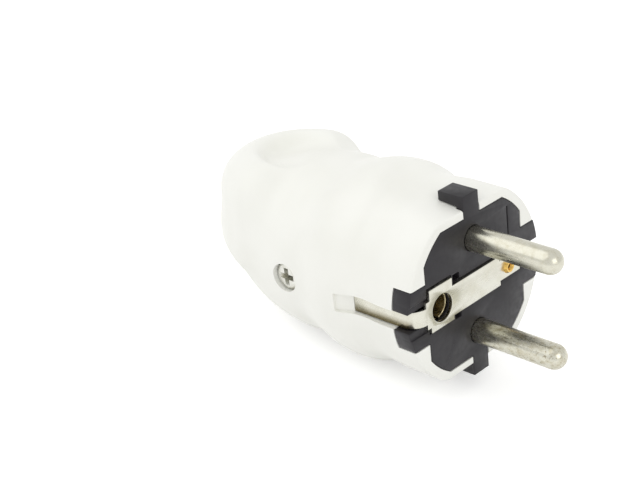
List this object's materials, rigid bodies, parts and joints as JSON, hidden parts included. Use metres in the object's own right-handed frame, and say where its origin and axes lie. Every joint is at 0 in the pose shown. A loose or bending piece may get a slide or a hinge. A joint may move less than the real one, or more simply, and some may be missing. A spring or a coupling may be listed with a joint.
{
  "type": "type f plug",
  "caption": "Rewirable round-pin mains plug with side earth clips, an earth contact hole in its dark face and a white housing with a thumb-hollowed pull head.",
  "frame": {"origin": "centre of the dark pin face, midway between the two pins", "axes": "+X out of the pin face along the pins, +Z along the line of the two pins towards the pull head, +Y to the right seen from the front"},
  "size_m": [0.0804, 0.0394, 0.0394],
  "materials": {
    "housing_plastic": "warm white moulded plastic, half gloss",
    "carrier_plastic": "charcoal moulded plastic, half matt",
    "nickel_plate": "satin nickel plate, lightly scratched",
    "brass": "plain brass",
    "zinc_steel": "zinc plated steel",
    "grommet_rubber": "soft black rubber"
  },
  "bodies": {
    "root": {"housing": "housing_plastic", "contact_carrier": "carrier_plastic", "contact_cover": "carrier_plastic", "pin_upper": "nickel_plate", "pin_lower": "nickel_plate", "earth_strap": "nickel_plate", "earth_clip_far": "nickel_plate", "earth_rivet": "brass", "earth_socket_sleeve": "brass", "earth_terminal": "brass", "terminal_screw_upper": "zinc_steel", "terminal_screw_lower": "zinc_steel", "earth_terminal_screw": "zinc_steel", "cover_screw": "zinc_steel", "clamp_screw_upper": "zinc_steel", "clamp_screw_lower": "zinc_steel", "housing_screw": "zinc_steel", "housing_nut": "zinc_steel", "cord_clamp_saddle": "zinc_steel", "inlet_grommet": "grommet_rubber"}
  },
  "joints": []
}
